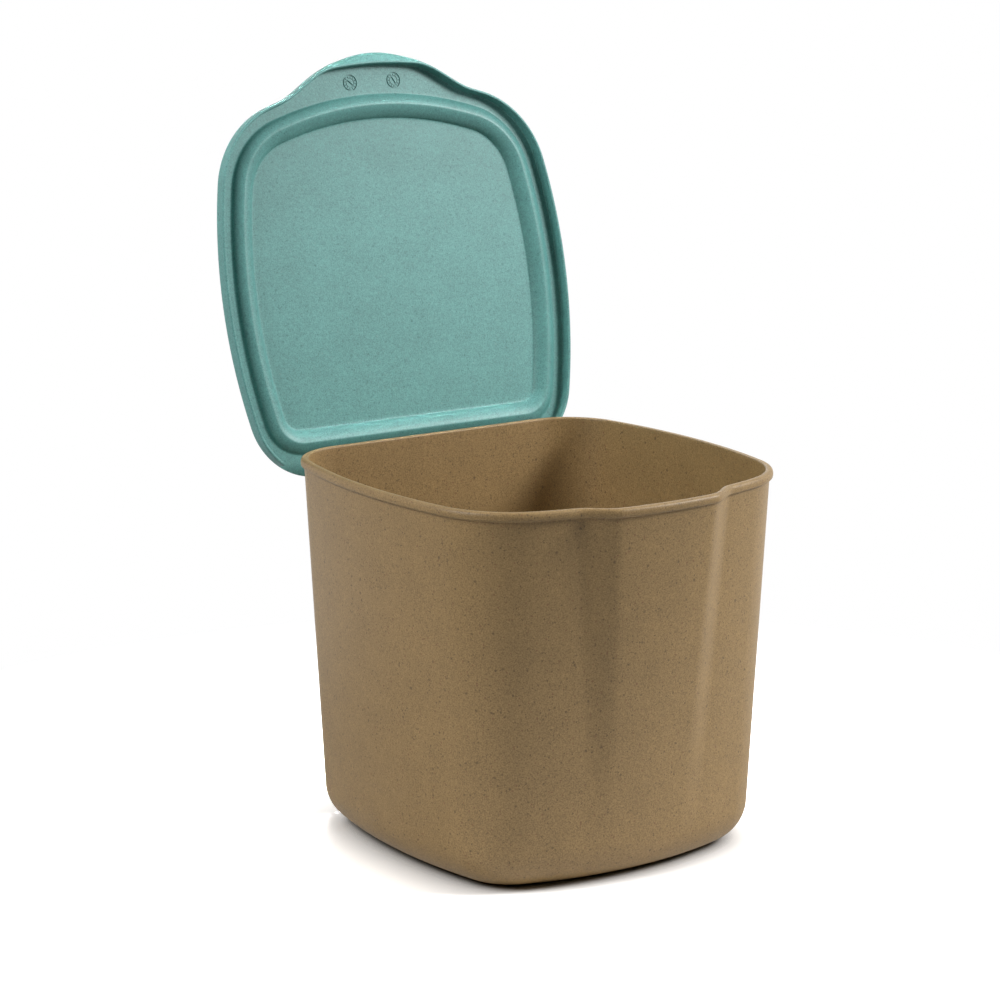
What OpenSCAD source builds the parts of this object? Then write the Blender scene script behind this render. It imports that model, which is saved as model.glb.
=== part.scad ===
// Kitchen compost caddy with a hinged lid.
// The bin stands on z = 0 with the middle of its mouth above the origin. +Z is up, the front
// faces -Y and the hinge runs along X behind the rear wall. The lid is drawn standing open.

/* [Bin] */
// Height from the base to the top of the rim
bin_h = 180; // [160:1:200]
// Width of the mouth, inside the side walls
mouth_w = 186; // [176:1:200]
// Depth of the mouth, inside the front and rear walls
mouth_d = 178.6; // [172:0.2:190]
// Thickness of the walls
wall_t = 2.25; // [2:0.05:2.6]
// Thickness of the floor
floor_t = 3; // [2.6:0.1:4]
// How far each wall leans inwards for each millimetre down
draft = 0.054; // [0.045:0.001:0.06]
// Radius of the rounded edge between the walls and the base
base_r = 20; // [15:0.5:20]

/* [Outline of the mouth] */
// Radius of the bowed side walls
side_r = 278; // [260:1:300]
// Radius of the bowed front wall
front_r = 190; // [180:1:205]
// Radius of the two front corners
front_corner_r = 41.5; // [39:0.5:44]
// Radius of the two rear corners
rear_corner_r = 28; // [27.5:0.5:30]
// How far behind the middle the sides are at their widest
bow_back = 6; // [3:0.5:8]

/* [Front bulge] */
// How far the middle of the front stands out at the rim
bulge = 7.3; // [5:0.1:8]
// Half width of the part that stands out fully
bulge_flat = 24; // [20:1:26]
// Half width at which the bulge has died away
bulge_end = 43; // [40:1:46]

/* [Rim] */
// How far the rim bead stands out from the wall
bead = 1.45; // [1:0.05:1.5]
// Height of the rim bead
bead_h = 4.5; // [3.5:0.1:6]

/* [Lid] */
// Thickness of the lid moulding
lid_t = 2.2; // [2:0.1:2.4]
// Depth of the skirt below the flange
skirt_h = 5.3; // [4:0.1:5.5]
// Gap between the rim bead and the skirt
skirt_gap = 0.4; // [0.35:0.05:0.6]
// Thickness of the skirt
skirt_t = 1.5; // [1.2:0.1:1.8]
// Extra room that the skirt leaves round the front bulge
bulge_room = 1.4; // [1:0.1:2]
// Gap between the plug ridge and the wall, at the front and the sides
plug_gap = 1.9; // [1.5:0.1:2.5]
// Gap between the plug ridge and the rear wall, which the ridge swings past
plug_rear_gap = 5.9; // [5.7:0.1:8]
// Width of the plug ridge
ridge_w = 11.5; // [11:0.1:12]
// Height of the plug ridge
ridge_h = 3.6; // [3:0.1:4.5]
// How far the thumb lip stands out
thumb_lip = 4.4; // [3:0.1:5]
// Half width of the thumb lip
thumb_half = 36; // [30:1:38]

/* [Hinge] */
// How far the lid stands open
open_angle = 102.7; // [95:0.1:110]
// Distance of the hinge axis behind the inside of the rear wall, at the rim
axis_back = 4.4; // [4.3:0.1:5]
// Distance of the hinge axis below the rim
axis_down = 13.6; // [13:0.1:15]
// Distance of each hinge from the middle
hinge_x = 48; // [35:1:55]
// Width of a lid knuckle
knuckle_w = 11; // [8:0.5:14]
// Radius of a lid knuckle
knuckle_r = 2.5; // [2.3:0.05:2.5]
// Diameter of a hinge pin
pin_d = 2.5; // [2:0.1:2.6]
// Thickness of each hinge lug on the bin
lug_t = 4; // [3:0.5:5]

/* [Hidden] */

half_w = mouth_w / 2;
half_d = mouth_d / 2;
bead_out = wall_t + bead; // outside of the bead, from the inner edge of the mouth
skirt_in = bead_out + skirt_gap;
skirt_out = skirt_in + skirt_t;
lid_bulge = bulge + bulge_room;
lid_bulge_flat = bulge_flat - 2;
lid_bulge_end = bulge_end + 11;
bulge_narrowing = 0.25; // share of its width that the bulge loses on the way down
seat_gap = 0.1; // the closed lid rests this far above the rim
side_gap = 0.3; // room beside each knuckle
pin_fit = 0.02; // radial clearance of a pin in the lugs
knuckle_fit = 0.07; // radial clearance of a pin in the knuckle
stop_gap = 0.08; // room that the stop heel leaves at full opening
axis_y = half_d + axis_back;
axis_z = bin_h - axis_down;
lug_r = 3.4;
pin_head_r = 2.2;
pin_head_t = 1.2;
crest = 5.1; // the ridge crest, inwards from the ridge's outer foot
ridge_form = 1.5; // 2 makes the ridge an ellipse in section, and 1 a plain wedge
panel_lift = 0.7; // the panel lies this far above the flange
notch_half = 79.5; // the rear edge has no skirt between these
stamp_x = 12.6;
stamp_y = -94;
stamp_d = 8;
stamp_depth = 0.3;
round_fn = 64;
tan_wall = atan(draft);

// ---- outlines -------------------------------------------------------------------------------
// An outline is a closed loop of [x, y, normal x, normal y], counter-clockwise from the middle
// of the front. It has bowed sides and front, round corners and a flat rear.

// Crossing of a circle about p with a circle about q, on the right of the way from p to q
function crossing(p, r, q, s) =
    let (d = norm(q - p), t = (r * r - s * s + d * d) / (2 * d), h = sqrt(r * r - t * t), e = (q - p) / d)
    p + t * e - h * [e.y, -e.x];

function arc(c, r, from, to, steps) =
    [for (i = [0:steps - 1]) let (a = from + (to - from) * i / steps)
        [c.x + r * cos(a), c.y + r * sin(a), cos(a), sin(a)]];

function heading(from, to) = atan2(to.y - from.y, to.x - from.x);

function right_half(w, front, rear, bow_y, sr, fr, fc, rc) =
    let (
        front_c = [0, front + fr],
        side_c = [w - sr, bow_y],
        corner_f = crossing(front_c, fr - fc, side_c, sr - fc),
        corner_r = [side_c.x + sqrt(pow(sr - rc, 2) - pow(rear - rc - bow_y, 2)), rear - rc],
        a1 = heading(front_c, corner_f),
        a2 = heading(side_c, corner_f),
        a3 = heading(side_c, corner_r)
    )
    concat(
        arc(front_c, fr, -90, a1, 18),
        arc(corner_f, fc, a1, a2, 7),
        arc(side_c, sr, a2, a3, 6),
        arc(corner_r, rc, a3, 90, 6),
        [[corner_r.x, rear, 0, 1], [0, rear, 0, 1]]
    );

function both_halves(h) =
    concat(h, [for (i = [len(h) - 2:-1:1]) [-h[i][0], h[i][1], -h[i][2], h[i][3]]]);

mouth = both_halves(right_half(half_w, -half_d, half_d, bow_back,
    side_r, front_r, front_corner_r, rear_corner_r));

plug = both_halves(right_half(half_w - plug_gap, -half_d + plug_gap, half_d - plug_rear_gap, bow_back,
    side_r - plug_gap, front_r - plug_gap, front_corner_r - plug_gap, 20));

// Smooth step from 1 inside `full` to 0 outside `gone`
function swell(x, full, gone) =
    let (s = min(1, max(0, (gone - abs(x)) / (gone - full)))) s * s * (3 - 2 * s);

function thumb(x) = abs(x) < thumb_half ? pow(cos(90 * x / thumb_half), 2) : 0;

// ---- lofted shells --------------------------------------------------------------------------
// One ring of a shell: the outline moved outwards by `off`, and by `swollen` in the front bulge
function ring(outline, off, z, swollen = 0, full = 1, gone = 2, tab = 0) =
    [for (p = outline)
        let (
            front = p[3] < 0 && p[1] < 0,
            out = off + (front ? swollen * swell(p[0], full, gone) + tab * thumb(p[0]) : 0)
        )
        [p[0] + out * p[2], p[1] + out * p[3], z]];

function middle(r) = [0, (r[0].y + r[(len(r)) / 2].y) / 2, r[0].z];

module shell(rings) {
    n = len(rings[0]);
    m = len(rings);
    points = concat([for (r = rings) each r], [middle(rings[0]), middle(rings[m - 1])]);
    sides = [for (k = [0:m - 2], i = [0:n - 1])
        let (j = (i + 1) % n, a = k * n + i, b = k * n + j, c = (k + 1) * n + j, d = (k + 1) * n + i)
        each [[a, d, c], [a, c, b]]];
    first_cap = [for (i = [0:n - 1]) [m * n, i, (i + 1) % n]];
    last_cap = [for (i = [0:n - 1]) [m * n + 1, (m - 1) * n + (i + 1) % n, (m - 1) * n + i]];
    polyhedron(points, concat(sides, first_cap, last_cap));
}

// ---- bin ------------------------------------------------------------------------------------
function wall_out(z) = wall_t - draft * (bin_h - z);
function wall_in(z) = -draft * (bin_h - z);

// The bulge dies away evenly towards the base, and grows narrower on the way
function bulge_left(z) = max(0, z - base_r / 2) / (bin_h - base_r / 2);
function bin_ring(off, z) =
    let (narrow = 1 - bulge_narrowing * (bin_h - z) / bin_h)
    ring(mouth, off, z, bulge * bulge_left(z), bulge_flat * narrow, bulge_end * narrow);

module bin_shell() {
    inner_r = base_r - wall_t;
    inner_z = floor_t + inner_r;
    rim_r = 1.6;
    lip_r = 0.9;
    shell(concat(
        [for (t = [90:-15:0]) bin_ring(wall_out(base_r) - base_r * (1 - cos(t)), base_r * (1 - sin(t)))],
        [for (f = [0.33, 0.66]) let (z = base_r + f * (bin_h - base_r)) bin_ring(wall_out(z), z)],
        [bin_ring(wall_out(bin_h - bead_h), bin_h - bead_h)],
        [bin_ring(bead_out - 0.4, bin_h - bead_h + 0.4)],
        [bin_ring(bead_out, bin_h - bead_h + 1)],
        [for (t = [0:22.5:90]) bin_ring(bead_out - rim_r * (1 - cos(t)), bin_h - rim_r * (1 - sin(t)))],
        [for (t = [90:30:180]) bin_ring(lip_r * (1 + cos(t)), bin_h - lip_r * (1 - sin(t)))],
        [for (f = [0.66, 0.33]) let (z = inner_z + f * (bin_h - inner_z)) bin_ring(wall_in(z), z)],
        [for (t = [0:15:90]) bin_ring(wall_in(inner_z) - inner_r * (1 - cos(t)), inner_z - inner_r * sin(t))]
    ));
}

// Draws a flat shape, given as [y, z], as a plate of thickness t centred on x
module plate(x, t) {
    translate([x - t / 2, 0, 0])
        rotate([90, 0, 90])
            linear_extrude(height = t)
                children();
}

// A round along X, centred on the hinge axis
module round_on_axis(x, r, length) {
    translate([x - length / 2, axis_y, axis_z])
        rotate([0, 90, 0])
            cylinder(r = r, h = length, $fn = round_fn);
}

// A lug grows out of the rear wall, with a long web under it
module lug(x) {
    web_down = 16;
    bite = 1.2; // how deep the lug's root lies in the wall
    top_z = axis_z + 4;
    low_z = axis_z - web_down;
    difference() {
        union() {
            plate(x, lug_t)
                polygon([
                    [half_d + wall_out(low_z) - bite, low_z],
                    [axis_y + lug_r * 0.8, axis_z - lug_r * 0.6],
                    [axis_y, axis_z + lug_r],
                    [half_d + wall_out(top_z) - bite, top_z]
                ]);
            round_on_axis(x, lug_r, lug_t);
        }
        round_on_axis(x, pin_d / 2 + pin_fit, lug_t + 2);
    }
}

lug_offset = knuckle_w / 2 + side_gap + lug_t / 2;

module bin() {
    color([0.56, 0.47, 0.34]) {
        bin_shell();
        for (hinge = [-1, 1], side = [-1, 1])
            lug(hinge * hinge_x + side * lug_offset);
    }
}

// ---- lid, worked out closed, with z from the underside of its flange ---------------------------
function rim_ring(off, z, tab = 0) =
    ring(mouth, off, z, lid_bulge, lid_bulge_flat, lid_bulge_end, thumb_lip * tab);

module lid_shell() {
    p = 2 / ridge_form;
    inner_w = ridge_w - crest;
    groove_out = crest - lid_t + 0.3;
    groove_in = inner_w - lid_t;
    shell(concat(
        // underside, from the panel over the ridge to the flange
        [for (t = [0:15:75]) ring(plug, -crest - inner_w * pow(cos(t), p),
            panel_lift - (ridge_h + panel_lift) * pow(sin(t), p))],
        [for (t = [90:-15:0]) ring(plug, -crest * (1 - pow(cos(t), p)), -ridge_h * pow(sin(t), p))],
        // skirt, inside, round its lip and up the outside with the thumb lip
        [rim_ring(skirt_in - 0.5, 0), rim_ring(skirt_in, -0.5), rim_ring(skirt_in, 0.5 - skirt_h)],
        [for (t = [45:45:135]) rim_ring(skirt_in + skirt_t / 2 * (1 - cos(t)), 0.5 - skirt_h - 0.5 * sin(t))],
        [rim_ring(skirt_out, 0.5 - skirt_h, 0.1)],
        [rim_ring(skirt_out, 1.4 - skirt_h, 0.7), rim_ring(skirt_out, 2.4 - skirt_h, 1)],
        [rim_ring(skirt_out, 3.8 - skirt_h, 0.92), rim_ring(skirt_out, 0.2, 0.62)],
        [rim_ring(skirt_out - 0.2, lid_t - 0.9, 0.35), rim_ring(skirt_out - 0.9, lid_t - 0.2, 0.12)],
        [rim_ring(skirt_out - 1.8, lid_t)],
        // top, down into the groove over the ridge and back up to the panel
        [ring(plug, 1.2 - crest + groove_out, lid_t), ring(plug, 0.2 - crest + groove_out, lid_t - 0.6)],
        [for (t = [0:22.5:67.5]) ring(plug, -crest + groove_out * cos(t), (lid_t - ridge_h) * sin(t))],
        [for (t = [90:-22.5:0]) ring(plug, -crest - groove_in * cos(t),
            panel_lift - (ridge_h + panel_lift - lid_t) * sin(t))],
        [ring(plug, -crest - groove_in - 0.3, lid_t + panel_lift - 0.6)],
        [ring(plug, -crest - groove_in - 1.3, lid_t + panel_lift)]
    ));
}

// A moulded-in date dial: a ring, an arrow and twelve ticks
module date_dial() {
    ring_t = 0.4;
    difference() {
        cylinder(d = stamp_d, h = 2 * stamp_depth, center = true, $fn = round_fn);
        cylinder(d = stamp_d - 2 * ring_t, h = 1, center = true, $fn = round_fn);
    }
    difference() {
        cylinder(d = stamp_d - 3, h = 2 * stamp_depth, center = true, $fn = round_fn);
        cylinder(d = stamp_d - 3 - 2 * ring_t, h = 1, center = true, $fn = round_fn);
    }
    for (i = [0:11])
        rotate(30 * i)
            translate([stamp_d / 2 - 1, 0, 0])
                cube([0.8, ring_t, 2 * stamp_depth], center = true);
    cube([ring_t, stamp_d - 4.4, 2 * stamp_depth], center = true);
}

// The stop heel under a knuckle meets the rear wall when the lid is fully open. Its face is
// square to the wall there, and it reaches only to the side that arrives last.
module stop_heel() {
    reach = (axis_back - wall_t + draft * axis_down) * cos(tan_wall) - stop_gap;
    back = 2.2;
    rotate(open_angle - tan_wall - 180)
        polygon([[0, 0], [reach, 0], [reach, back], [0, back]]);
}

// Lid knuckle: the barrel round the pin, and the arm up to the flange
module knuckle_solid(x) {
    arm_in = half_d + bead_out + 0.35;
    arm_out = axis_y + knuckle_r;
    round_on_axis(x, knuckle_r, knuckle_w);
    plate(x, knuckle_w)
        polygon([
            [axis_y, axis_z],
            [arm_out, axis_z],
            [arm_out, bin_h + seat_gap + lid_t - 0.8],
            [arm_out - 0.8, bin_h + seat_gap + lid_t],
            [arm_in - 4, bin_h + seat_gap + lid_t],
            [arm_in - 4, bin_h + seat_gap + 0.5],
            [arm_in, bin_h + seat_gap + 0.5],
            [arm_in, axis_z + 1]
        ]);
    plate(x, knuckle_w)
        translate([axis_y, axis_z])
            stop_heel();
}

module lid_closed() {
    difference() {
        union() {
            difference() {
                translate([0, 0, bin_h + seat_gap])
                    lid_shell();
                // no skirt along the rear, behind the plug ridge
                translate([-notch_half, half_d - plug_rear_gap + 0.8, bin_h + seat_gap - 10])
                    cube([2 * notch_half, 30, 10]);
                for (side = [-1, 1])
                    translate([side * stamp_x, stamp_y, bin_h + seat_gap])
                        date_dial();
            }
            for (hinge = [-1, 1])
                knuckle_solid(hinge * hinge_x);
        }
        for (hinge = [-1, 1])
            round_on_axis(hinge * hinge_x, pin_d / 2 + knuckle_fit, knuckle_w + 2);
    }
}

module lid() {
    color([0.47, 0.66, 0.63])
        translate([0, axis_y, axis_z])
            rotate([-open_angle, 0, 0])
                translate([0, -axis_y, -axis_z])
                    lid_closed();
}

// ---- hinge pins, each with its head on the outer side ------------------------------------------
module hinge_pin(hinge) {
    stack = knuckle_w + 2 * side_gap + 2 * lug_t;
    color([0.72, 0.73, 0.74]) {
        round_on_axis(hinge * hinge_x, pin_d / 2, stack);
        round_on_axis(hinge * (hinge_x + (stack + pin_head_t) / 2), pin_head_r, pin_head_t);
    }
}

bin();
lid();
hinge_pin(-1);  // hinge_pin_left
hinge_pin(1);  // hinge_pin_right
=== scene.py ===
"""Looks of the kitchen compost caddy. Shapes are in millimetres until a mesh is made."""

import math

import bpy
import numpy as np
from mathutils import Matrix, Vector


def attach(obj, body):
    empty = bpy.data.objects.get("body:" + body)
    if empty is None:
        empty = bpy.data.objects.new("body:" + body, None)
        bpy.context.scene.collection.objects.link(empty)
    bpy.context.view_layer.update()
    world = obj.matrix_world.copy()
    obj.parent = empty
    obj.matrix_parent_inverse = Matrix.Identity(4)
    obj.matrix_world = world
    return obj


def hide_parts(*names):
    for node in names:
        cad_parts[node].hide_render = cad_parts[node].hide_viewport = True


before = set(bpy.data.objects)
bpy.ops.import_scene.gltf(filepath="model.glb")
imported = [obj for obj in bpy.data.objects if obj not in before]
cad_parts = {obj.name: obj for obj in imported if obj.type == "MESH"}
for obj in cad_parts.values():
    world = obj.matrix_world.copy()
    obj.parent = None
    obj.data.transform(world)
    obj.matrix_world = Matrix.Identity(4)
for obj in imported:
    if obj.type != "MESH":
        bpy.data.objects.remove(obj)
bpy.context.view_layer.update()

MM = 0.001

# ---- sizes, the same as the CAD part's apart from the last group ---------------------------------
BIN_H = 180.0
HALF_W, HALF_D = 93.0, 89.3
WALL, FLOOR, DRAFT, BASE_R = 2.25, 3.0, 0.054, 20.0
BOW, SIDE_R, FRONT_R, FRONT_CORNER_R, REAR_CORNER_R = 6.0, 278.0, 190.0, 41.5, 28.0
BULGE, BULGE_FLAT, BULGE_END, BULGE_NARROWING = 7.3, 24.0, 43.0, 0.25
BEAD, SKIRT_GAP, SKIRT_T, SKIRT_H = 1.45, 0.4, 1.5, 5.3
BEAD_OUT = WALL + BEAD
SKIRT_IN = BEAD_OUT + SKIRT_GAP
SKIRT_OUT = SKIRT_IN + SKIRT_T
LID_BULGE, LID_BULGE_FLAT, LID_BULGE_END = BULGE + 1.4, BULGE_FLAT - 2, BULGE_END + 11
LID_T, PANEL_LIFT, SEAT_GAP = 2.2, 0.7, 0.1
FLANGE_Z = BIN_H + SEAT_GAP
PLUG_GAP, PLUG_REAR_GAP, PLUG_REAR_R = 1.9, 5.9, 20.0
RIDGE_W, RIDGE_H, CREST, RIDGE_FORM = 11.5, 3.6, 5.1, 1.5
THUMB, THUMB_HALF = 4.4, 36.0
NOTCH_HALF = 79.5
OPEN_ANGLE = 102.7
AXIS_BACK, AXIS_DOWN = 4.4, 13.6
AXIS_Y, AXIS_Z = HALF_D + AXIS_BACK, BIN_H - AXIS_DOWN
HINGE_X, KNUCKLE_W, KNUCKLE_R, LUG_T, LUG_R = 48.0, 11.0, 2.5, 4.0, 3.4
SIDE_GAP, STOP_GAP, HEEL_T = 0.3, 0.08, 2.2
LUG_X = KNUCKLE_W / 2 + SIDE_GAP + LUG_T / 2
DIALS = ((-12.6, -94.0, -50.0), (12.6, -94.0, -29.0))  # x, y and turn in degrees

# the scene's own: dials that are cut deeper, with a bolder ring and slot, and a hinge arm whose
# top stays just inside the lid, so that the two surfaces don't coincide
DIAL_CUT = 0.55
DIAL_RING, DIAL_HUB = (4.0, 3.45), (2.3, 2.05)
TICKS, TICK_FROM, TICK_TO, TICK_HALF = 12, 2.6, 3.2, 0.2
SLOT_HALF_W, SLOT_HALF_L = 0.3, 1.8
ARM_SUNK = 0.12

# ---- how finely shapes are drawn -----------------------------------------------------------------
FRONT_STEPS, SIDE_STEPS, REAR_STEPS, ROUND_STEPS = 90, 30, 5, 48
CAP_SHARES = (0.985, 0.9, 0.6, 0.3, 0.06)
CORNER_SHARE, NEXT_CUT = 0.25, 0.4
EDGE_R, EDGE_SEGMENTS, EDGE_ANGLE = 0.35, 3, math.radians(40)
CREASE_ANGLE = math.radians(38)

# ---- plastic: lengths in metres, scales per metre, colours linear --------------------------------
# base, dark and warm colour, roughness and speckle
TAN = ((0.308, 0.200, 0.0836), (0.085, 0.055, 0.030), (0.20, 0.09, 0.045), 0.46, 1.55)
TEAL = ((0.120, 0.325, 0.304), (0.045, 0.160, 0.150), (0.17, 0.36, 0.34), 0.44, 1.25)
NOISE_LO, NOISE_HI = 0.3, 0.7  # nearly all of a noise lies between these
CLOUD, GRAIN = (60.0, 3.0, 0.05), (520.0, 2.0, 0.07)  # scale, detail and swing of the brightness
DUST, DUST_SWING = (1700.0, 1.0), 0.16
WOBBLE_SCALE, WOBBLE = 900.0, 0.0009
SMALL_FLECKS, LARGE_FLECKS = (0.0013, 0.42, 0.42), (0.0034, 0.22, 0.30)  # cell, size and share
SMALL_STRENGTH, LARGE_STRENGTH = 0.36, 0.42
FLECK_EDGE, WARM_ABOVE = (-0.06, 0.10), 0.6
FINE_SCALE, WAVE_SCALE = 2600.0, 420.0
FINE_HEIGHT, FLECK_DENT = 0.35, 0.25
ROUGHNESS_SWING = 0.05

# ---- steel, lamps, floor and camera --------------------------------------------------------------
DRAWN_LINES = (60.0, 4000.0, 4000.0)
STEEL_DARK, STEEL_LIGHT = (0.50, 0.51, 0.52, 1), (0.66, 0.67, 0.68, 1)
STEEL_ROUGHNESS = (0.28, 0.42)
MIDDLE, OPEN_LIP = (0, 0.02, 0.16), (0, 0.15, 0.35)
LAMP_DISTANCE = 1.4
LAMPS = (  # name, azimuth, elevation, side in metres and watts
    ("key_box", 50, 32, 0.42, 16.0),
    ("right_box", 65, 32, 0.7, 2.9),
    ("right_high_box", 65, 50, 0.7, 1.9),
    ("left_box", -90, 35, 0.5, 9.3),
    ("left_high_box", -105, 45, 0.5, 4.1),
    ("rear_box", 150, 20, 0.5, 1.5),
)
LIP_BEAM = 14
FLOOR_HALF = 6000
BOUNCE_RADIUS, BOUNCE_FADE = 0.35, (0.8, 1.2)
PAPER, SHOWN_WHITE = 0.86, 2.5
# reach and samples of the occlusion that darkens the floor's colour near the base: a painted contact
# shadow
PAINTED_SHADOW_REACH, PAINTED_SHADOW_SAMPLES = 0.03, 16
CAMERA_AT, CAMERA_TURN = (-0.8944, -1.2696, 0.5088), (77.433, 0, -34.404)
SENSOR, LENS, CLIP = 36.0, 122.14, (0.05, 50.0)


# ---- outlines ------------------------------------------------------------------------------------
def crossing(p, r, q, s):
    """Where a circle about p meets one about q, on the right of the way from p to q."""
    d = math.dist(p, q)
    t = (r * r - s * s + d * d) / (2 * d)
    h = math.sqrt(r * r - t * t)
    ex, ey = (q[0] - p[0]) / d, (q[1] - p[1]) / d
    return p[0] + t * ex - h * ey, p[1] + t * ey + h * ex


def heading(p, q):
    return math.degrees(math.atan2(q[1] - p[1], q[0] - p[0]))


def sweep(start, stop, step):
    """Angles in radians, from start towards stop, all three given in degrees."""
    return np.radians(np.arange(start, stop, step))


def arc(c, r, start, end, steps):
    t = np.radians(start + (end - start) * np.arange(steps) / steps)
    return np.stack([c[0] + r * np.cos(t), c[1] + r * np.sin(t), np.cos(t), np.sin(t)], 1)


def outline(w, front, rear, shrink, rc):
    """Closed loop of x, y and outward normal, counter-clockwise from the middle of the front."""
    sr, fr, fc = SIDE_R - shrink, FRONT_R - shrink, FRONT_CORNER_R - shrink
    front_c, side_c = (0.0, front + fr), (w - sr, BOW)
    cf = crossing(front_c, fr - fc, side_c, sr - fc)
    cr = (side_c[0] + math.sqrt((sr - rc) ** 2 - (rear - rc - BOW) ** 2), rear - rc)
    a1, a2, a3 = heading(front_c, cf), heading(side_c, cf), heading(side_c, cr)
    flat = np.array([[cr[0] * (1 - i / REAR_STEPS), rear, 0, 1] for i in range(REAR_STEPS + 1)])
    half = np.concatenate([
        arc(front_c, fr, -90, a1, FRONT_STEPS),
        arc(cf, fc, a1, a2, SIDE_STEPS),
        arc(side_c, sr, a2, a3, SIDE_STEPS),
        arc(cr, rc, a3, 90, SIDE_STEPS),
        flat,
    ])
    return np.concatenate([half, half[-2:0:-1] * [-1, 1, -1, 1]])


mouth = outline(HALF_W, -HALF_D, HALF_D, 0.0, REAR_CORNER_R)
plug = outline(HALF_W - PLUG_GAP, -HALF_D + PLUG_GAP, HALF_D - PLUG_REAR_GAP, PLUG_GAP, PLUG_REAR_R)


def swell(x, full, gone):
    """1 up to `full` from the middle, falling smoothly to 0 at `gone`."""
    s = np.clip((gone - np.abs(x)) / (gone - full), 0, 1)
    return s * s * (3 - 2 * s)


def thumb(x):
    return np.where(np.abs(x) < THUMB_HALF, np.cos(np.pi / 2 * x / THUMB_HALF) ** 2, 0)


def ring(loop, off, z, swollen=0.0, full=1.0, gone=2.0, tab=0.0):
    """The outline moved outwards by off, and further at the front, at height z."""
    x, front = loop[:, 0], (loop[:, 3] < 0) & (loop[:, 1] < 0)
    out = off + front * (swollen * swell(x, full, gone) + tab * thumb(x))
    return np.column_stack([x + out * loop[:, 2], loop[:, 1] + out * loop[:, 3], np.full(len(x), z)])


def soften(line, cut, times=2):
    """Cuts each corner of a profile, at most `cut` away from it, and less each further time."""
    line = [np.array(p, float) for p in line]
    for _ in range(times):
        out = [line[0]]
        for a, b, c in zip(line, line[1:], line[2:]):
            for q in (a, c):
                far = max(np.linalg.norm((q - b)[:2]), 1e-6)
                out.append(b + (q - b) * min(CORNER_SHARE, cut / far))
        line = out + [line[-1]]
        cut *= NEXT_CUT
    return line


# ---- meshes --------------------------------------------------------------------------------------
def mesh_object(name, verts, faces, smooth=True):
    mesh = bpy.data.meshes.new(name)
    mesh.from_pydata([tuple(v) for v in np.asarray(verts) * MM], [], faces)
    mesh.validate()
    mesh.shade_smooth() if smooth else mesh.shade_flat()
    obj = bpy.data.objects.new(name, mesh)
    bpy.context.scene.collection.objects.link(obj)
    return obj


def cap(r):
    """Rings that carry a flat cap from ring r towards its middle."""
    centre = np.array([0.0, (r[:, 1].min() + r[:, 1].max()) / 2, r[0, 2]])
    return [centre + (r - centre) * share for share in CAP_SHARES]


def loft(name, rings):
    """A closed skin over the rings. Both ends are closed with flat caps."""
    rings = cap(rings[0])[::-1] + rings + cap(rings[-1])
    n, m = len(rings[0]), len(rings)
    faces = []
    for k in range(m - 1):
        for i in range(n):
            j = (i + 1) % n
            faces.append((k * n + i, k * n + j, (k + 1) * n + j, (k + 1) * n + i))
    faces.append(tuple(range(n))[::-1])
    faces.append(tuple((m - 1) * n + i for i in range(n)))
    return mesh_object(name, np.concatenate(rings), faces)


def hull(points):
    """Convex outline of 2-D points, counter-clockwise."""
    points = sorted(set((round(float(a), 6), round(float(b), 6)) for a, b in points))

    def half(seq):
        out = []
        for p in seq:
            while len(out) > 1 and (
                (out[-1][0] - out[-2][0]) * (p[1] - out[-2][1])
                - (out[-1][1] - out[-2][1]) * (p[0] - out[-2][0])
            ) <= 0:
                out.pop()
            out.append(p)
        return out[:-1]

    return half(points) + half(points[::-1])


def circle(y, z, r):
    t = np.linspace(0, 2 * np.pi, ROUND_STEPS, endpoint=False)
    return np.stack([y + r * np.cos(t), z + r * np.sin(t)], 1)


def plate(name, x, t, shape, edge_r=EDGE_R):
    """A flat shape, given as (y, z), made t thick and centred on x, with its edges rounded."""
    n = len(shape)
    verts = [(x + s * t / 2, p[0], p[1]) for s in (-1, 1) for p in shape]
    faces = [tuple(range(n))[::-1], tuple(range(n, 2 * n))]
    faces += [(i, (i + 1) % n, n + (i + 1) % n, n + i) for i in range(n)]
    obj = mesh_object(name, verts, faces)
    mod = obj.modifiers.new("edge", "BEVEL")
    mod.width, mod.segments, mod.angle_limit = edge_r * MM, EDGE_SEGMENTS, EDGE_ANGLE
    mod.limit_method = "ANGLE"
    obj.data.set_sharp_from_angle(angle=EDGE_ANGLE)
    mod.harden_normals = True
    return obj


def box_mesh(lo, hi):
    verts = [(x, y, z) for x in (lo[0], hi[0]) for y in (lo[1], hi[1]) for z in (lo[2], hi[2])]
    faces = [(0, 1, 3, 2), (4, 6, 7, 5), (0, 4, 5, 1), (2, 3, 7, 6), (0, 2, 6, 4), (1, 5, 7, 3)]
    return verts, faces


def tube_mesh(r, inner, half_h):
    """A short upright tube about the Z axis."""
    n = ROUND_STEPS
    verts = []
    for radius, z in ((r, -half_h), (r, half_h), (inner, half_h), (inner, -half_h)):
        verts += [(a, b, z) for a, b in circle(0, 0, radius)]
    faces = []
    for k in range(4):
        for i in range(n):
            j, nxt = (i + 1) % n, (k + 1) % 4
            faces.append((k * n + i, k * n + j, nxt * n + j, nxt * n + i))
    return verts, faces


def join_parts(parts):
    verts, faces = [], []
    for v, f in parts:
        base = len(verts)
        verts += list(v)
        faces += [tuple(base + i for i in face) for face in f]
    return verts, faces


def turned(part, angle, move=(0, 0, 0)):
    c, s = math.cos(math.radians(angle)), math.sin(math.radians(angle))
    verts = [(c * x - s * y + move[0], s * x + c * y + move[1], z + move[2]) for x, y, z in part[0]]
    return verts, part[1]


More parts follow.
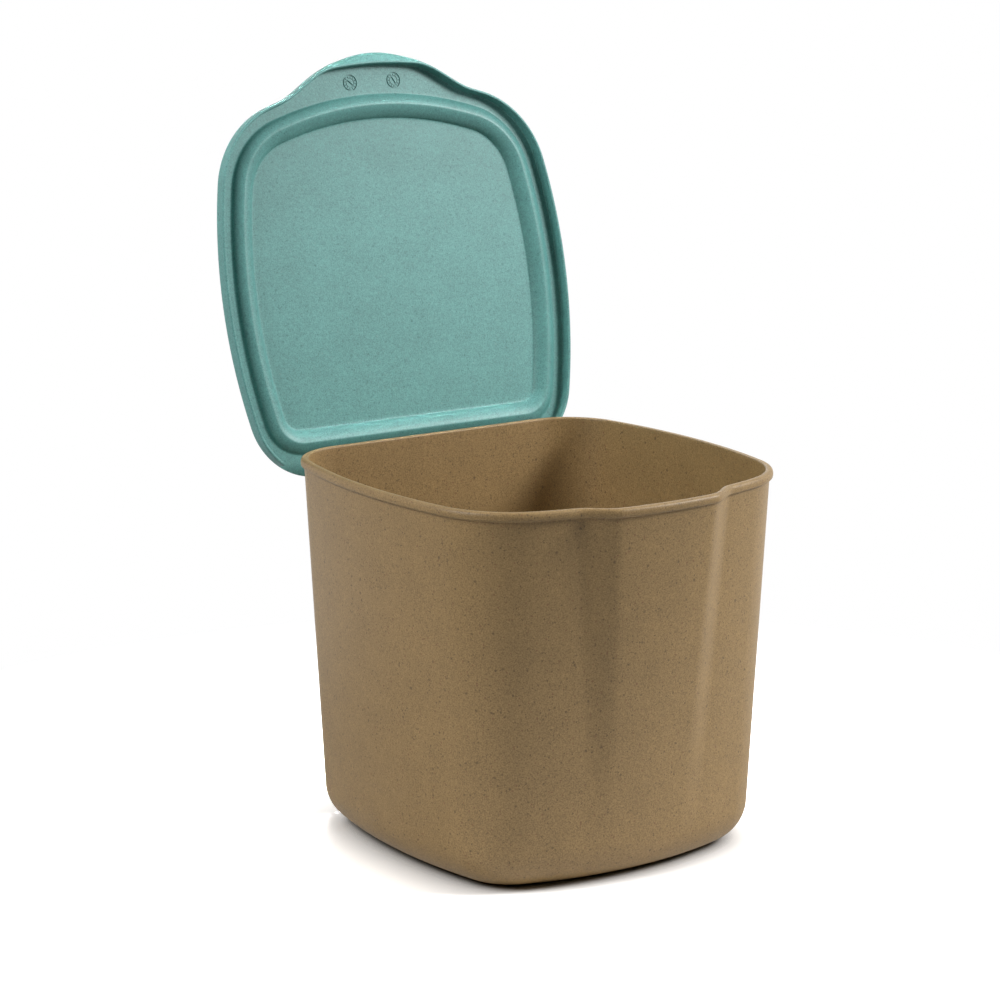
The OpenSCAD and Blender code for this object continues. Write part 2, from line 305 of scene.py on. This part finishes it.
def cut(obj, verts, faces):
    """Takes a closed shape out of obj for good."""
    cutter = mesh_object("cutter", verts, faces, smooth=False)
    mod = obj.modifiers.new("cut", "BOOLEAN")
    mod.operation, mod.solver, mod.object = "DIFFERENCE", "EXACT", cutter
    dg = bpy.context.evaluated_depsgraph_get()
    made = bpy.data.meshes.new_from_object(obj.evaluated_get(dg))
    obj.modifiers.clear()
    obj.data = made
    bpy.data.objects.remove(cutter)


# ---- bin -----------------------------------------------------------------------------------------
def wall_out(z):
    return WALL - DRAFT * (BIN_H - z)


def wall_in(z):
    return -DRAFT * (BIN_H - z)


def bin_ring(off, z):
    left = max(0.0, z - BASE_R / 2) / (BIN_H - BASE_R / 2)
    narrow = 1 - BULGE_NARROWING * (BIN_H - z) / BIN_H
    return ring(mouth, off, z, BULGE * left, BULGE_FLAT * narrow, BULGE_END * narrow)


def bin_profile():
    """Offset and height, from under the base, up the outside, over the rim and down the inside."""
    inner_r = BASE_R - WALL
    inner_z = FLOOR + inner_r
    line = []
    for t in sweep(90, -1, -6):
        line.append((wall_out(BASE_R) - BASE_R * (1 - math.cos(t)), BASE_R * (1 - math.sin(t))))
    line += [(wall_out(z), z) for z in (21, 24, 30, *range(40, 171, 10), 174)]
    line += soften([
        (wall_out(175), 175),
        (wall_out(175.6), 175.6),
        (BEAD_OUT - 0.15, 176.1),
        (BEAD_OUT, 177.4),
        (BEAD_OUT, 178.2),
        (BEAD_OUT - 0.45, 179.5),
        (BEAD_OUT - 1.7, BIN_H),
        (1.0, BIN_H),
        (0.05, 179.75),
        (wall_in(178.6), 178.6),
        (wall_in(177), 177),
    ], 0.6, 3)
    line += [(wall_in(z), z) for z in (174, *range(170, 29, -10), 24, 21.6)]
    for t in sweep(0, 91, 6):
        line.append((wall_in(inner_z) - inner_r * (1 - math.cos(t)), inner_z - inner_r * math.sin(t)))
    return line


def lug_shape():
    """A lug's side view. It is rooted inside the rear wall."""
    low, top, root = AXIS_Z - 16, AXIS_Z + 4, 1.2
    wall = [(HALF_D + wall_out(z) - root, z) for z in (low, top)]
    return hull(wall + list(circle(AXIS_Y, AXIS_Z, LUG_R)))


def make_bin():
    pieces = [loft("bin_body", [bin_ring(off, z) for off, z in bin_profile()])]
    shape = lug_shape()
    for hinge, word in ((-1, "left"), (1, "right")):
        for side, place in ((-1, "a"), (1, "b")):
            x = hinge * HINGE_X + side * LUG_X
            pieces.append(plate(f"bin_lug_{word}_{place}", x, LUG_T, shape))
    return pieces


# ---- lid, made closed and then swung open --------------------------------------------------------
def rim_ring(off, z, tab):
    return ring(mouth, off, z, LID_BULGE, LID_BULGE_FLAT, LID_BULGE_END, THUMB * tab)


def lid_underside():
    """Offset and height, from the panel over the plug ridge to the flange."""
    inner_w, power = RIDGE_W - CREST, 2 / RIDGE_FORM
    line = [(-RIDGE_W - 2.2, PANEL_LIFT), (-RIDGE_W - 0.7, PANEL_LIFT)]
    for t in sweep(4, 91, 7):
        across, up = math.cos(t) ** power, math.sin(t) ** power
        line.append((-CREST - inner_w * across, PANEL_LIFT - (RIDGE_H + PANEL_LIFT) * up))
    for t in sweep(83, 8, -7):
        line.append((-CREST * (1 - math.cos(t) ** power), -RIDGE_H * math.sin(t) ** power))
    return line + [(0, -0.35), (0.45, 0), (1.4, 0)]


def lid_edge():
    """Offset, height and share of the thumb lip, round the skirt to the flange's top."""
    return [
        (SKIRT_IN - 1.2, 0, 0),
        (SKIRT_IN - 0.4, 0, 0),
        (SKIRT_IN, -0.5, 0),
        (SKIRT_IN, 0.6 - SKIRT_H, 0),
        (SKIRT_IN + 0.25, -SKIRT_H, 0),
        (SKIRT_OUT - 0.25, -SKIRT_H, 0),
        (SKIRT_OUT, 0.5 - SKIRT_H, 0.1),
        (SKIRT_OUT, 1.4 - SKIRT_H, 0.7),
        (SKIRT_OUT, 2.4 - SKIRT_H, 1.0),
        (SKIRT_OUT, 3.8 - SKIRT_H, 0.92),
        (SKIRT_OUT, 0.2, 0.62),
        (SKIRT_OUT - 0.2, LID_T - 0.9, 0.35),
        (SKIRT_OUT - 0.9, LID_T - 0.2, 0.12),
        (SKIRT_OUT - 1.8, LID_T, 0),
        (SKIRT_OUT - 3.2, LID_T, 0),
    ]


def lid_top():
    """Offset and height, from the flange through the groove to the panel."""
    groove_out, groove_in = CREST - LID_T + 0.3, RIDGE_W - CREST - LID_T
    depth, panel_top = RIDGE_H + PANEL_LIFT - LID_T, LID_T + PANEL_LIFT
    line = [(2.2 - CREST + groove_out, LID_T), (1.0 - CREST + groove_out, LID_T)]
    for t in sweep(0, 90, 11):
        line.append((-CREST + groove_out * math.cos(t), (LID_T - RIDGE_H) * math.sin(t)))
    for t in sweep(90, 0, -11):
        line.append((-CREST - groove_in * math.cos(t), PANEL_LIFT - depth * math.sin(t)))
    return line + [
        (-CREST - groove_in, panel_top - 0.5),
        (-CREST - groove_in - 0.8, panel_top),
        (-CREST - groove_in - 2.2, panel_top),
    ]


def date_dial(x, y, turn):
    """The parts of one dial to cut out of the flange: two rings, the ticks and a slot."""
    tick = box_mesh((TICK_FROM, -TICK_HALF, -DIAL_CUT), (TICK_TO, TICK_HALF, DIAL_CUT))
    parts = [tube_mesh(*DIAL_RING, DIAL_CUT), tube_mesh(*DIAL_HUB, DIAL_CUT)]
    parts += [turned(tick, 360 / TICKS * i) for i in range(TICKS)]
    parts.append(box_mesh((-SLOT_HALF_W, -SLOT_HALF_L, -DIAL_CUT), (SLOT_HALF_W, SLOT_HALF_L, DIAL_CUT)))
    return [turned(part, turn, (x, y, 0)) for part in parts]


def arm_shape():
    """Side view of the arm from a knuckle up to the flange."""
    arm_in, arm_out = HALF_D + BEAD_OUT + 0.35, AXIS_Y + KNUCKLE_R
    arm_top = FLANGE_Z + LID_T - ARM_SUNK
    return [
        (AXIS_Y, AXIS_Z),
        (arm_out, AXIS_Z),
        (arm_out, arm_top - 0.7),
        (arm_out - 0.7, arm_top),
        (arm_in - 4, arm_top),
        (arm_in - 4, FLANGE_Z + 0.5),
        (arm_in, FLANGE_Z + 0.5),
        (arm_in, AXIS_Z + 1),
    ]


def heel_shape():
    """Side view of the stop under a knuckle, which meets the rear wall when the lid is open."""
    lean = math.degrees(math.atan(DRAFT))
    reach = (AXIS_BACK - WALL + DRAFT * AXIS_DOWN) * math.cos(math.radians(lean)) - STOP_GAP
    a = math.radians(OPEN_ANGLE - lean - 180)
    return [
        (AXIS_Y + u * math.cos(a) - v * math.sin(a), AXIS_Z + u * math.sin(a) + v * math.cos(a))
        for u, v in ((0, 0), (reach, 0), (reach, HEEL_T), (0, HEEL_T))
    ]


def make_lid():
    rings = [ring(plug, off, z) for off, z in soften(lid_underside(), 0.25)]
    rings += [rim_ring(off, z, tab) for off, z, tab in soften(lid_edge(), 0.35)]
    rings += [ring(plug, off, z) for off, z in soften(lid_top(), 0.3)]
    body = loft("lid_body", rings)

    # the notch, between whose ends the rear edge has no skirt, and then the dials
    cut(body, *box_mesh((-NOTCH_HALF, HALF_D - PLUG_REAR_GAP + 0.8, -10), (NOTCH_HALF, HALF_D + 25, 0)))
    cut(body, *join_parts([part for dial in DIALS for part in date_dial(*dial)]))
    body.data.shade_smooth()
    body.data.set_sharp_from_angle(angle=CREASE_ANGLE)
    body.data.transform(Matrix.Translation((0, 0, FLANGE_Z * MM)))

    pieces = [body]
    for hinge, word in ((-1, "left"), (1, "right")):
        x = hinge * HINGE_X
        pieces.append(plate(f"lid_knuckle_{word}", x, KNUCKLE_W, circle(AXIS_Y, AXIS_Z, KNUCKLE_R)))
        pieces.append(plate(f"lid_arm_{word}", x, KNUCKLE_W, arm_shape()))
        pieces.append(plate(f"lid_heel_{word}", x, KNUCKLE_W, heel_shape(), edge_r=0.2))
    hinge_at = Vector((0, AXIS_Y, AXIS_Z)) * MM
    swing = Matrix.Rotation(math.radians(-OPEN_ANGLE), 4, "X")
    opened = Matrix.Translation(hinge_at) @ swing @ Matrix.Translation(-hinge_at)
    for piece in pieces:
        piece.data.transform(opened)
    return pieces


# ---- materials -----------------------------------------------------------------------------------
class Graph:
    """Short ways to add nodes to one material or world."""

    def __init__(self, owner, output="ShaderNodeOutputMaterial"):
        owner.use_nodes = True
        self.tree = owner.node_tree
        self.tree.nodes.clear()
        self.out = self.add(output)

    def add(self, kind, sockets=None, **settings):
        node = self.tree.nodes.new(kind)
        for key, value in settings.items():
            setattr(node, key, value)
        for key, value in (sockets or {}).items():
            self.put(node.inputs[key], value)
        return node

    def put(self, socket, value):
        if isinstance(value, bpy.types.NodeSocket):
            self.tree.links.new(value, socket)
        else:
            socket.default_value = value

    def math(self, operation, a, b):
        return self.add("ShaderNodeMath", {0: a, 1: b}, operation=operation).outputs[0]

    def vector(self, operation, a, b):
        return self.add("ShaderNodeVectorMath", {0: a, 1: b}, operation=operation).outputs[0]

    def span(self, value, from_lo, from_hi, to_lo, to_hi):
        node = self.add("ShaderNodeMapRange", {0: value, 1: from_lo, 2: from_hi, 3: to_lo, 4: to_hi})
        return node.outputs[0]

    def spread(self, noise, lo, hi):
        """Spreads a noise over the range from lo to hi."""
        return self.span(noise, NOISE_LO, NOISE_HI, lo, hi)

    def noise(self, where, scale, detail=2.0):
        node = self.add("ShaderNodeTexNoise", {"Vector": where, "Scale": scale, "Detail": detail})
        return node.outputs["Fac"]

    def mix(self, share, a, b):
        node = self.add("ShaderNodeMix", data_type="RGBA")
        self.put(node.inputs[0], share)
        self.put(node.inputs[6], a)
        self.put(node.inputs[7], b)
        return node.outputs[2]

    def finish(self, shader):
        self.put(self.out.inputs["Surface"], shader.outputs[0])


def flecks(g, where, cell, size, share):
    """1 inside a fleck, and a random number for each cell. That share of the cells hold a fleck
    each, with a radius of up to `size` of a cell."""
    cells = g.add("ShaderNodeTexVoronoi", {"Vector": where, "Scale": 1 / cell, "Randomness": 1.0})
    chance = g.add("ShaderNodeSeparateColor", {0: cells.outputs["Color"]})
    radius = g.span(chance.outputs[0], 1 - share, 1.0, 0.0, size)
    inside = g.math("SUBTRACT", radius, cells.outputs["Distance"])
    return g.span(inside, *FLECK_EDGE, 0.0, 1.0), chance.outputs[1]


def flecked_plastic(name, base, dark, warm, roughness, speckle):
    """Satin plastic with clouds, grain and flecks. Speckle is how strongly dust and flecks show."""
    material = bpy.data.materials.new(name)
    g = Graph(material)
    where = g.add("ShaderNodeTexCoord").outputs["Object"]
    wobble = g.add("ShaderNodeTexNoise", {"Vector": where, "Scale": WOBBLE_SCALE, "Detail": 1.0})
    bent = g.vector("ADD", where, g.vector("MULTIPLY", wobble.outputs["Color"], (WOBBLE,) * 3))
    cloud, grain, dust = (
        g.spread(g.noise(where, scale, detail), 1 - swing, 1 + swing)
        for scale, detail, swing in (CLOUD, GRAIN, (*DUST, DUST_SWING * speckle))
    )
    tone = g.math("MULTIPLY", g.math("MULTIPLY", cloud, grain), dust)
    tinted = g.add("ShaderNodeVectorMath", {0: base, "Scale": tone}, operation="SCALE").outputs[0]
    small, pick = flecks(g, bent, *SMALL_FLECKS)
    large, _ = flecks(g, bent, *LARGE_FLECKS)
    fleck = g.mix(g.math("GREATER_THAN", pick, WARM_ABOVE), (*dark, 1), (*warm, 1))
    colour = g.mix(g.math("MULTIPLY", small, SMALL_STRENGTH * speckle), tinted, fleck)
    colour = g.mix(g.math("MULTIPLY", large, LARGE_STRENGTH * speckle), colour, (*dark, 1))
    fine, waves = g.noise(where, FINE_SCALE), g.noise(where, WAVE_SCALE)
    height = g.math("ADD", g.math("MULTIPLY", fine, FINE_HEIGHT), waves)
    height = g.math("SUBTRACT", height, g.math("MULTIPLY", small, FLECK_DENT))
    bump = g.add("ShaderNodeBump", {"Strength": 0.22, "Distance": 0.0002, "Height": height})
    g.finish(g.add("ShaderNodeBsdfPrincipled", {
        "Base Color": colour,
        "Roughness": g.spread(fine, roughness - ROUGHNESS_SWING, roughness + ROUGHNESS_SWING),
        "IOR": 1.46,
        "Normal": bump.outputs[0],
    }))
    return material


def drawn_steel(name):
    """Bright wire with fine lines along X."""
    material = bpy.data.materials.new(name)
    g = Graph(material)
    where = g.add("ShaderNodeTexCoord").outputs["Object"]
    along = g.add("ShaderNodeMapping", {"Vector": where, "Scale": DRAWN_LINES}).outputs[0]
    lines = g.noise(along, 1.0)
    bump = g.add("ShaderNodeBump", {"Strength": 0.15, "Distance": 0.00005, "Height": lines})
    g.finish(g.add("ShaderNodeBsdfPrincipled", {
        "Base Color": g.mix(g.spread(lines, 0.0, 1.0), STEEL_DARK, STEEL_LIGHT),
        "Metallic": 1.0,
        "Roughness": g.spread(lines, *STEEL_ROUGHNESS),
        "Normal": bump.outputs[0],
    }))
    return material


def sight(g):
    """1 for camera rays, and 1 for the rays that show the stage in a mirror or through glass."""
    path = g.add("ShaderNodeLightPath").outputs
    return path["Is Camera Ray"], g.math("MAXIMUM", path["Is Glossy Ray"], path["Is Transmission Ray"])


def floor_white(name):
    """White paper. Only its part around the base reflects light onto the caddy. The camera sees it
    bright enough
    to be plain white outside the shadow at the base. That shadow is partly the lamps' own and partly
    painted:
    an occlusion term darkens the floor's colour near the base, a painted contact shadow."""
    material = bpy.data.materials.new(name)
    g = Graph(material)
    camera_ray, mirror_ray = sight(g)
    place = g.add("ShaderNodeNewGeometry").outputs["Position"]
    from_middle = g.add("ShaderNodeVectorMath", {0: place}, operation="LENGTH").outputs["Value"]
    near = g.span(from_middle, *(share * BOUNCE_RADIUS for share in BOUNCE_FADE), 1.0, 0.0)
    # the occlusion term darkens the floor's colour for camera rays near the base: a painted contact
    # shadow
    reach = {"Distance": PAINTED_SHADOW_REACH}
    painted_shadow_factor = g.add("ShaderNodeAmbientOcclusion", reach, samples=PAINTED_SHADOW_SAMPLES).outputs["AO"]
    shown_with_painted_shadow = g.math("MULTIPLY", SHOWN_WHITE, painted_shadow_factor)
    level = g.add("ShaderNodeMix", {0: camera_ray, 2: PAPER, 3: shown_with_painted_shadow}).outputs[0]
    paper = g.add("ShaderNodeBsdfDiffuse", {"Color": g.math("MULTIPLY", near, level)})
    seen = g.math("MAXIMUM", camera_ray, mirror_ray)
    far = g.math("MULTIPLY", seen, g.math("SUBTRACT", 1.0, near))
    glow = g.add("ShaderNodeEmission", {"Color": (1, 1, 1, 1), "Strength": far})
    g.finish(g.add("ShaderNodeAddShader", {0: paper.outputs[0], 1: glow.outputs[0]}))
    return material


def white_room():
    """White where it is seen directly. It adds no light of its own to the caddy."""
    world = bpy.data.worlds.new("white_room")
    g = Graph(world, "ShaderNodeOutputWorld")
    seen = g.math("MAXIMUM", *sight(g))
    g.finish(g.add("ShaderNodeBackground", {"Color": (1, 1, 1, 1), "Strength": seen}))
    return world


tan = flecked_plastic("tan_bioplastic", *TAN)
teal = flecked_plastic("teal_bioplastic", *TEAL)
steel = drawn_steel("pin_steel")

# ---- the object ----------------------------------------------------------------------------------
for name, made, body, slot, material in (
    ("bin", make_bin(), "bin", "bin_plastic", tan),
    ("lid", make_lid(), "lid", "lid_plastic", teal),
):
    for piece in made:
        piece.data.materials.clear()
        piece.data.materials.append(material)
        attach(piece, body)
    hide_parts(name)

for name in ("hinge_pin_left", "hinge_pin_right"):
    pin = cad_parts[name]
    pin.data.materials.clear()
    pin.data.materials.append(steel)

# ---- floor, lights and camera --------------------------------------------------------------------
corners = [(x * FLOOR_HALF, y * FLOOR_HALF, 0) for x, y in ((-1, -1), (1, -1), (1, 1), (-1, 1))]
floor = mesh_object("floor", corners, [(0, 1, 2, 3)])
floor.data.materials.append(floor_white("floor_white"))

bpy.context.scene.world = white_room()


def softbox(name, azimuth, elevation, distance, width, height, power, aim=MIDDLE):
    """An area light that looks at `aim`. Azimuth 0 is in front of the caddy."""
    a, e = math.radians(azimuth), math.radians(elevation)
    away = Vector((math.sin(a) * math.cos(e), -math.cos(a) * math.cos(e), math.sin(e)))
    data = bpy.data.lights.new(name, "AREA")
    data.shape, data.size, data.size_y = "RECTANGLE", width, height
    data.energy = power
    light = bpy.data.objects.new(name, data)
    light.location = Vector(aim) + away * distance
    light.rotation_euler = away.to_track_quat("Z", "Y").to_euler()
    bpy.context.scene.collection.objects.link(light)
    return light


for name, azimuth, elevation, side, power in LAMPS:
    softbox(name, azimuth, elevation, LAMP_DISTANCE, side, side, power)
# a narrow strip above and behind, for the pale edge of the open lid's thumb lip
lip_lamp = softbox(
    "lip_box", azimuth=180, elevation=84, distance=0.5, width=0.2, height=0.04, power=0.045, aim=OPEN_LIP
)
lip_lamp.data.spread = math.radians(LIP_BEAM)

camera = bpy.data.objects.new("camera", bpy.data.cameras.new("camera"))
camera.data.sensor_width, camera.data.lens = SENSOR, LENS
camera.data.clip_start, camera.data.clip_end = CLIP
camera.location = CAMERA_AT
camera.rotation_euler = [math.radians(angle) for angle in CAMERA_TURN]
bpy.context.scene.collection.objects.link(camera)
bpy.context.scene.camera = camera

bpy.context.scene.view_settings.view_transform = "Standard"
